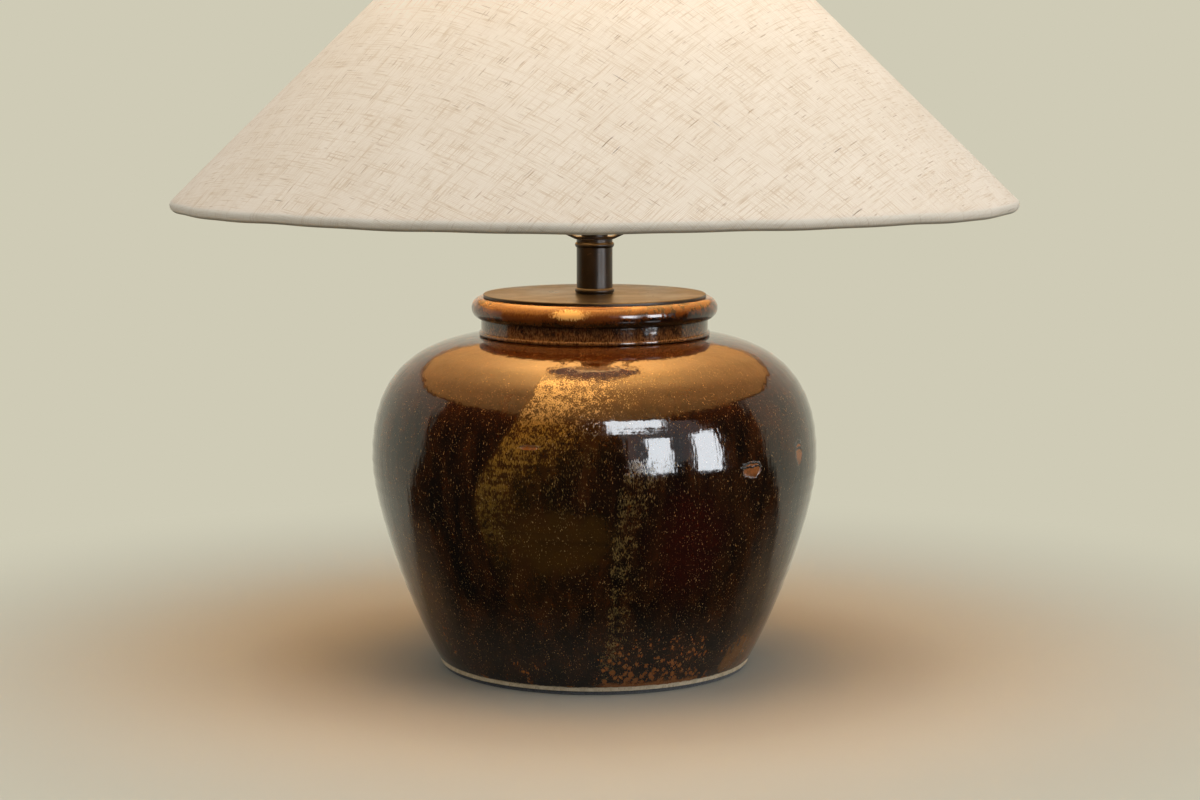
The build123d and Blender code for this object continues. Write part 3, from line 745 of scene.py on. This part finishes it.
def withRim(on, body):
    # gold on the crest, dark underneath
    rimLow = 1000 * (jar["rollLevel"] - jar["roll"])
    crest = spread(on.level, rimLow - 0.9, rimLow + 13.6)
    crest = plus(crest, centred(on.drips, 0.9), centred(on.specks, 1.3))
    crest = less(crest, spread(turnAway(on, 38.0), 44.0, 8.0, 0.0, 0.30))
    rimTone = mixTones(spread(crest, 0.04, 0.34), glaze["black"], glaze["caramel"])
    rimTone = mixTones(spread(crest, 0.50, 1.00), rimTone, glaze["gold"])
    for middle, half in rimMottles:
        side = spread(turnAway(on, middle), half, half * 0.6)
        blackMottle = product(spread(on.mottle, 0.47, 0.57), side, 0.85)
        rimTone = mixTones(blackMottle, rimTone, glaze["black"])
    away, _ = oval(on, *rimPatch)
    away = plus(away, centred(on.specks, 2.0))
    rimTone = mixTones(spread(away, 1.0, 0.4, 0.0, 0.8), rimTone, glaze["straw"])
    onRim = spread(on.level, rimLow - 0.1, rimLow + 0.7)
    return mixTones(onRim, body, rimTone), onRim


def withBareFoot(on, body):
    # bare clay on the foot and underneath
    bandTop = 1000 * (jar["footLevel"] + jar["footBand"])
    recessTop = 1000 * jar["recessTop"]
    recessRadius = jar["recessRadius"]
    inside = spread(on.radius, recessRadius + 0.0026, recessRadius + 0.0016)
    inside = product(inside, spread(on.level, recessTop + 1.0, recessTop + 0.4))
    footEdge = plus(on.level, centred(on.mottle, 2.2))
    bare = highest(spread(footEdge, bandTop + 0.5, bandTop - 0.1), inside)
    clayTone = mixTones(spread(on.mottle, 0.3, 0.7), glaze["clayShade"], glaze["clay"])
    clayTone = mixTones(spread(on.dashes, 0.60, 0.70, 0.0, 0.6), clayTone, glaze["clayPit"])
    return mixTones(bare, body, clayTone), bare


def glazeFinish():
    finish, shader, where = newFinish("streakedGlaze")
    on = glazeFields(where)
    body = groundTone(on)
    body, ochre, khaki = withRuns(on, body)
    body = withSpots(on, body)
    body, chips, lids = withScars(on, body)
    body = withCollar(on, body)
    body, onRim = withRim(on, body)
    body, bare = withBareFoot(on, body)
    feed(shader.inputs["Base Color"], body)

    # glossy where dark, softer over the specks, in the chips and on the rim, dull on bare clay
    gloss = plus(spread(on.mottle, 0.3, 0.75, 0.04, 0.10), product(ochre, 0.09), product(chips, 0.15))
    gloss = plus(gloss, product(onRim, spread(on.mottle, 0.40, 0.60), 0.14))
    feed(shader.inputs["Roughness"], highest(gloss, product(bare, 0.82)))
    feed(shader.inputs["IOR"], 1.5)

    height = plus(product(on.rows, 0.30), product(on.mottle, 0.16), product(on.drips, 0.9))
    height = plus(height, product(highest(ochre, khaki), 0.08), less(lids, chips))
    relief(shader, height, 0.0005, 0.55)
    return finish


def makeJar():
    values = {
        "Turning Radius": jar["turningRadius"], "Wobble": jar["wobble"], "Ring Depth": jar["ringDepth"],
        "Ring Pitch": jar["ringPitch"], "Seed": jar["seed"], "Turns": jar["turns"], "Glaze": glazeFinish(),
    }
    piece = runTree(jarOutline(), throwingTree(), values)
    drillLeadHole(piece)
    settle(piece.data)
    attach(piece, "base")
    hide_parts("jar_body")
    return piece


jarPiece = makeJar()
print("jar thrown and glazed:", len(jarPiece.data.polygons), "faces")


# Felt ring under the foot, a flat cut with soft edges
felt = {"outer": 0.0934, "inner": 0.0824, "thickness": 0.0025, "edge": 0.0007, "edgeSteps": 4, "turns": 180}


def feltFinish():
    finish, shader, where = newFinish("darkFelt")
    hairs = noise(stretched(where, 700, 700, 1500), 1.0, 4.0, 0.7)
    clumps = noise(where, 260.0, 3.0, 0.6)
    body = mixTones(spread(hairs, 0.3, 0.7), tone(38, 40, 44), tone(78, 80, 86))
    body = mixTones(spread(clumps, 0.5, 0.75, 0.0, 0.5), body, tone(54, 52, 50))
    feed(shader.inputs["Base Color"], body)
    feed(shader.inputs["Roughness"], spread(hairs, 0.3, 0.7, 0.85, 1.0))
    feed(shader.inputs["Sheen Weight"], 0.25)
    relief(shader, hairs, 0.0004, 0.8)
    return finish


def feltSection(middle):
    # (radius, level) round the four soft edges of the ring
    half = (felt["outer"] - felt["inner"]) / 2 - felt["edge"]
    section = []
    corners = ((middle + half, -90), (middle + half, 0), (middle - half, 90), (middle - half, 180))
    for centre, start in corners:
        level = felt["edge"] if start in (-90, 180) else felt["thickness"] - felt["edge"]
        for step in range(felt["edgeSteps"] + 1):
            turn = radians(start + step * 90 / felt["edgeSteps"])
            section.append((centre + felt["edge"] * cos(turn), level + felt["edge"] * sin(turn)))
    return section


def makeFelt():
    middle = (felt["outer"] + felt["inner"]) / 2
    section = feltSection(middle)
    shell = bmesh.new()
    loops = []
    for i in range(felt["turns"]):
        around = 2 * pi * i / felt["turns"]
        loops.append([shell.verts.new((r * cos(around), r * sin(around), level)) for r, level in section])
    for i, loop in enumerate(loops):
        following = loops[(i + 1) % len(loops)]
        for j in range(len(section)):
            k = (j + 1) % len(section)
            shell.faces.new((loop[j], following[j], following[k], loop[k]))
    mesh = bpy.data.meshes.new("footFelt")
    shell.to_mesh(mesh)
    shell.free()
    settle(mesh, sharpAngle=60)
    piece = newPiece("footFelt", mesh, feltFinish())
    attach(piece, "base")
    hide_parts("foot_felt")


makeFelt()
print("felt laid")


# Shade cloth: one cone-shaped cut, lapped at the back, rolled round both rings
cloth = {
    "bottomRing": (0.2504, 0.2830), "topRing": (0.0724, 0.4556), "roll": 0.0035,
    "bottomTurn": 232.0, "bottomSteps": 22, "topTurn": 98.0, "topSteps": 10, "wallRows": 56, "columns": 384,
    "lap": 0.012, "lapLift": 0.0007, "lapEase": 0.06, "lapShare": 0.7,
    "ripple": 0.0005, "rippleIn": 0.3, "rippleUp": 0.6,
    "hemEdge": 0.0008, "hemShadeUnder": (0.004, 0.006), "hemFade": 0.003,
    "pitch": 0.00095, "bias": 38.0, "drift": 0.0012,
}
# threads that stand out: stretch and width in metres, noise where they start and end, share of falling ones
clothThreads = {
    "Streaks": (0.022, 0.00052, 0.48, 0.76, 0.9),
    "Slubs": (0.012, 0.00056, 0.68, 0.80, 0.8),
    "Flecks": (0.030, 0.00056, 0.80, 0.85, 0.9),
}
# how much each of them tints the cloth, its tone, and how much of the painted glow it holds back
threadTones = {
    "Streaks": (0.58, tone(192, 160, 118), 0.16),
    "Slubs": (0.62, tone(164, 126, 82), 0.25),
    "Flecks": (0.80, tone(126, 92, 58), 0.35),
}


def clothSection():
    # (radius, level, distance from the tip of the flat cut) from the tucked bottom edge to the top edge
    low = Vector(cloth["bottomRing"])
    high = Vector(cloth["topRing"])
    along = (high - low).normalized()
    outward = Vector((along.y, -along.x))
    wallTurn = -Vector((1, 0)).angle_signed(outward)
    roll = cloth["roll"]
    halfAngleSine = -along.x
    lowEdge = low + outward * roll
    highEdge = high + outward * roll
    lowSlant = lowEdge.x / halfAngleSine
    highSlant = highEdge.x / halfAngleSine
    points = []

    def roundRing(centre, turn, slant):
        spot = centre + Vector((cos(turn), sin(turn))) * roll
        points.append((spot.x, spot.y, slant))

    for step in range(cloth["bottomSteps"], 0, -1):
        turn = radians(cloth["bottomTurn"]) * step / cloth["bottomSteps"]
        roundRing(low, wallTurn - turn, lowSlant + turn * roll)
    for step in range(cloth["wallRows"] + 1):
        share = step / cloth["wallRows"]
        spot = lowEdge.lerp(highEdge, share)
        points.append((spot.x, spot.y, lowSlant + (highSlant - lowSlant) * share))
    for step in range(1, cloth["topSteps"] + 1):
        turn = radians(cloth["topTurn"]) * step / cloth["topSteps"]
        roundRing(high, wallTurn + turn, highSlant - turn * roll)
    return points, halfAngleSine, lowSlant, highSlant


def makeWeave():
    # plain weave on the bias: ribs, faint streaks in clumps, short slubs, a few dark flecks and nubs
    inputs = {"Flat": "NodeSocketVector", "Pitch": "NodeSocketFloat"}
    group, given, result = newGroup("linenWeave", inputs, ["Threads", *clothThreads])
    turned = put(group, "ShaderNodeVectorRotate", rotation_type="Z_AXIS")
    feed(turned.inputs["Angle"], radians(cloth["bias"]))
    feed(turned.inputs["Vector"], given.outputs["Flat"])
    bias = turned.outputs[0]
    x, y, _ = axes(bias)
    sideways = centred(noise(bias, 60.0, 2.0), cloth["drift"])

    def ribs(axis):
        count = calc("DIVIDE", plus(axis, sideways), given.outputs["Pitch"])
        return calc("SINE", product(count, 2 * pi))

    def oneWay(across, lengthwise, length, width, low, high):
        # single threads, each coloured over stretches of about this length
        thread = calc("FLOOR", calc("DIVIDE", plus(across, sideways), width))
        spot = put(group, "ShaderNodeCombineXYZ")
        feed(spot.inputs["X"], product(thread, 7.31))  # so that neighbours differ
        feed(spot.inputs["Y"], calc("DIVIDE", lengthwise, length))
        return spread(noise(spot.outputs[0], 1.0, 0.6), low, high)

    def bothWays(length, width, low, high, share):
        # threads that fall to the right get only a share
        rising = oneWay(x, y, length, width, low, high)
        falling = oneWay(y, x, length, width, low, high)
        return highest(rising, product(falling, share))

    warp = ribs(x)
    weft = ribs(y)
    clumps = spread(noise(bias, 120.0, 2.0), 0.36, 0.62, 0.5, 1.0)
    nubs = spread(noise(stretched(bias, 1300, 1000, 1), 1.0, 1.0), 0.76, 0.82)
    marks = {label: bothWays(*sizes) for label, sizes in clothThreads.items()}
    marks["Streaks"] = product(marks["Streaks"], clumps)
    marks["Flecks"] = highest(marks["Flecks"], nubs)
    marks["Threads"] = plus(product(warp, weft), highest(warp, weft))
    for label, amount in marks.items():
        feed(result.inputs[label], amount)
    return group


def linenFinish(lowSlant, highSlant):
    finish, shader, where = newFinish("slubLinen")
    flat = put(shader.id_data, "ShaderNodeUVMap", uv_map="flatCut").outputs[0]
    weave = place(makeWeave(), Flat=flat, Pitch=cloth["pitch"]).outputs
    cloudy = noise(flat, 22.0, 3.0)
    body = mixTones(spread(cloudy, 0.3, 0.7), tone(236, 224, 209), tone(240, 229, 215))
    body = mixTones(spread(weave["Threads"], -1.0, 1.6, 0.22, 0.0), body, tone(184, 158, 124))
    held = []
    for label, (tint, colour, hold) in threadTones.items():
        body = mixTones(product(weave[label], tint), body, colour)
        held.append(product(weave[label], hold))

    # the hem is folded double and greyer on top; where it turns under, a dull olive is painted shade
    slant = lengthOf(flat)
    edge = cloth["hemEdge"]
    under, full = cloth["hemShadeUnder"]
    onHem = spread(slant, lowSlant - edge, lowSlant + edge, 0.0, 0.5)
    body = mixTones(onHem, body, tone(212, 209, 198))
    paintedShadeUnder = spread(slant, lowSlant + under, lowSlant + full, 0.0, 0.75)
    body = mixTones(paintedShadeUnder, body, tone(104, 96, 70))
    feed(shader.inputs["Base Color"], body)
    feed(shader.inputs["Roughness"], spread(cloudy, 0.3, 0.7, 0.82, 0.95))
    feed(shader.inputs["Sheen Weight"], 0.08)

    # painted light: the bulb's light through the single cloth as a glow of emission, less through thick
    # threads, none at the hems
    fall = paintedBulbGlow(where, bulb["paintedThroughCloth"])
    fall = calc("DIVIDE", fall, plus(product(fall, 0.8), 1.0))  # eased next to the bulb
    fade = cloth["hemFade"]
    single = spread(slant, lowSlant, lowSlant - fade)
    single = product(single, spread(slant, highSlant, highSlant + fade))
    clear = calc("SUBTRACT", 1.0, plus(*held), clamp=True)
    paintedGlow = product(fall, single, clear)
    feed(shader.inputs["Emission Color"], mixTones(1.0, paintedGlow, tone(255, 217, 166), "MULTIPLY"))
    feed(shader.inputs["Emission Strength"], 1.0)
    relief(shader, weave["Threads"], 0.00012, 0.35)
    return finish


def clothMesh(points, whole, halfAngleSine, lowSlant, highSlant):
    # the section carried round from the back, with its place in the flat cut as UV
    shell = bmesh.new()
    flatCut = shell.loops.layers.uv.new("flatCut")
    columns = cloth["columns"]
    ease = cloth["lapEase"]
    rows = []
    for i in range(columns + 1):
        around = whole * i / columns
        facing = around + pi / 2
        lift = cloth["lapLift"] * min(max((around - 2 * pi + ease) / ease, 0.0), 1.0) * cloth["lapShare"]
        swell = sin(5 * facing + 0.7) + 0.6 * sin(13 * facing) + 0.35 * sin(29 * facing)
        row = []
        for radius, level, slant in points:
            nearHem = max(0.0, (slant - highSlant) / (lowSlant - highSlant)) ** 6
            wave = cloth["ripple"] * nearHem * swell
            out = radius + lift - abs(wave) * cloth["rippleIn"]
            up = level + lift + wave * cloth["rippleUp"]
            row.append(shell.verts.new((out * cos(facing), out * sin(facing), up)))
        rows.append(row)
    for i in range(columns):
        for j in range(len(points) - 1):
            corners = ((i, j), (i + 1, j), (i + 1, j + 1), (i, j + 1))
            face = shell.faces.new([rows[column][row] for column, row in corners])
            face.smooth = True
            for loop, (column, row) in zip(face.loops, corners):
                turn = (whole * column / columns - pi) * halfAngleSine
                slant = points[row][2]
                loop[flatCut].uv = (slant * sin(turn), -slant * cos(turn))
    mesh = bpy.data.meshes.new("shadeCloth")
    shell.to_mesh(mesh)
    shell.free()
    return mesh


def makeCloth():
    points, halfAngleSine, lowSlant, highSlant = clothSection()
    whole = 2 * pi + cloth["lap"] / cloth["bottomRing"][0]
    mesh = clothMesh(points, whole, halfAngleSine, lowSlant, highSlant)
    piece = newPiece("shadeCloth", mesh, linenFinish(lowSlant, highSlant))
    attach(piece, "shade")
    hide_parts("shade_cover")


makeCloth()


# Floor, camera and lights
stage = {
    "backdrop": tone(207, 203, 182), "floor": tone(164, 164, 158), "floorGrain": tone(169, 169, 162),
    "floorSize": 14.0, "fadeFrom": 0.16, "fadeTo": 0.62,
    "glossFrom": 0.10, "glossFront": 0.17, "glossTo": 0.42,
    "dimTone": tone(226, 224, 214), "dimLight": 0.30, "darkSide": 0.05,
    "glare": 1.15, "glareFrom": 0.08, "glareFull": 0.2,
    "lens": 79.8, "cameraAt": (0.0033, -1.610, 0.369), "cameraPitch": 7.34,
    "lightsAim": (0.0, 0.0, 0.2), "boxTone": (1.0, 0.975, 0.94), "paneTone": (0.90, 0.95, 1.0),
}
# place, width, height and power of each broad box, which lights the lamp and leaves no mark in the glaze
softBoxes = {
    "leftBox": ((-1.60, -0.35, 0.95), 1.5, 1.2, 6.0),
    "rightBox": ((1.60, -0.55, 1.00), 1.5, 1.2, 10.4),
    "topBox": ((0.15, -0.60, 2.15), 1.6, 1.3, 25.5),
}
# place, width, height and glare of each pane that shows only in the gloss; the last is a dim haze behind
glossPanes = [
    ((0.63, -1.48, 1.36), 0.95, 0.60, 18.0),
    ((1.08, -1.69, 0.46), 0.46, 0.80, 18.0),
    ((1.70, -1.05, 0.48), 0.50, 0.90, 18.0),
    ((1.22, -1.72, 0.86), 1.60, 1.30, 0.7),
]


def seenDirectly(tree):
    # 1 for rays from the camera, or mirrored or passed on by the object
    path = put(tree, "ShaderNodeLightPath").outputs
    seen = plus(path["Is Camera Ray"], path["Is Glossy Ray"])
    return calc("ADD", seen, path["Is Transmission Ray"], clamp=True), path["Is Camera Ray"]


def paleness(depth, camera):
    # the camera sees the backdrop's own tone, gloss sees it lit beside and behind the lamp, dark in front
    glare = spread(depth, stage["glareFrom"], stage["glareFull"], stage["darkSide"], stage["glare"])
    return plus(product(glare, less(1.0, camera)), camera)


def blendShaders(amount, first, second, output):
    mixed = put(amount.id_data, "ShaderNodeMixShader")
    for socket, value in zip(mixed.inputs, (amount, first.outputs[0], second.outputs[0])):
        feed(socket, value)
    feed(amount.id_data.nodes[output].inputs["Surface"], mixed.outputs[0])


def makeFloor():
    finish, shader, where = newFinish("paleFloor")
    grain = noise(where, 3.0, 3.0)
    feed(shader.inputs["Base Color"], mixTones(grain, stage["floor"], stage["floorGrain"]))
    feed(shader.inputs["Roughness"], 0.75)
    feed(shader.inputs["Specular IOR Level"], 0.15)

    # farther out it fades into the backdrop, sooner in the gloss in front of the lamp
    tree = shader.id_data
    pale = put(tree, "ShaderNodeEmission")
    feed(pale.inputs["Color"], stage["backdrop"])
    seen, camera = seenDirectly(tree)
    away = lengthOf(where)
    behind = calc("DIVIDE", axes(where)["Y"], away)
    feed(pale.inputs["Strength"], paleness(behind, camera))
    straight = product(spread(away, stage["fadeFrom"], stage["fadeTo"]), camera)
    reach = spread(behind, -0.5, 0.1, stage["glossFront"], stage["glossTo"])
    mirrored = spread(away, stage["glossFrom"], reach)
    mirrored = product(mirrored, less(seen, camera))
    blendShaders(plus(straight, mirrored), shader, pale, "Material Output")
    half = stage["floorSize"] / 2
    mesh = bpy.data.meshes.new("floor")
    corners = [(-half, -half, 0), (half, -half, 0), (half, half, 0), (-half, half, 0)]
    mesh.from_pydata(corners, [], [(0, 1, 2, 3)])
    newPiece("floor", mesh, finish)


def makeSurround():
    # dim as a light, plain backdrop for the camera, and for gloss a backdrop that ends beside the lamp
    world = bpy.data.worlds.new("surround")
    world.use_nodes = True
    tree = world.node_tree
    dim = tree.nodes["Background"]
    feed(dim.inputs["Color"], stage["dimTone"])
    feed(dim.inputs["Strength"], stage["dimLight"])
    pale = put(tree, "ShaderNodeBackground")
    feed(pale.inputs["Color"], stage["backdrop"])
    facing = axes(put(tree, "ShaderNodeTexCoord").outputs["Generated"])
    seen, camera = seenDirectly(tree)
    feed(pale.inputs["Strength"], paleness(facing["Y"], camera))
    blendShaders(seen, dim, pale, "World Output")
    bpy.context.scene.world = world


def softBox(name, at, width, height, power, colour):
    data = bpy.data.lights.new(name, "AREA")
    data.shape = "RECTANGLE"
    data.size = width
    data.size_y = height
    data.energy = power
    data.color = colour
    light = newPiece(name, data)
    light.location = at
    light.rotation_euler = (Vector(stage["lightsAim"]) - Vector(at)).to_track_quat("-Z", "Y").to_euler()
    light.visible_camera = False
    return light


def makeLights():
    for name, box in softBoxes.items():
        light = softBox(name, *box, stage["boxTone"])
        light.visible_glossy = False
    for i, (at, width, height, glare) in enumerate(glossPanes):
        power = glare * pi * width * height
        light = softBox(f"glossPane{i + 1}", at, width, height, power, stage["paneTone"])
        light.visible_diffuse = False
    data = bpy.data.lights.new("bulbLight", "POINT")
    data.energy = bulb["watts"]
    data.color = bulb["lightTone"]
    data.shadow_soft_size = bulb["lightRadius"]
    newPiece("bulbLight", data).location = bulb["middle"]
    frame["nodes"]["bulb_globe"].visible_shadow = False


def makeCamera():
    data = bpy.data.cameras.new("view")
    data.lens = stage["lens"]
    data.sensor_width = 36.0
    data.clip_end = 60.0
    camera = newPiece("view", data)
    camera.location = stage["cameraAt"]
    camera.rotation_euler = (radians(90 - stage["cameraPitch"]), 0, 0)
    bpy.context.scene.camera = camera


makeFloor()
makeSurround()
makeLights()
makeCamera()
bpy.context.scene.view_settings.view_transform = "Standard"
print("stage, lights and camera set")
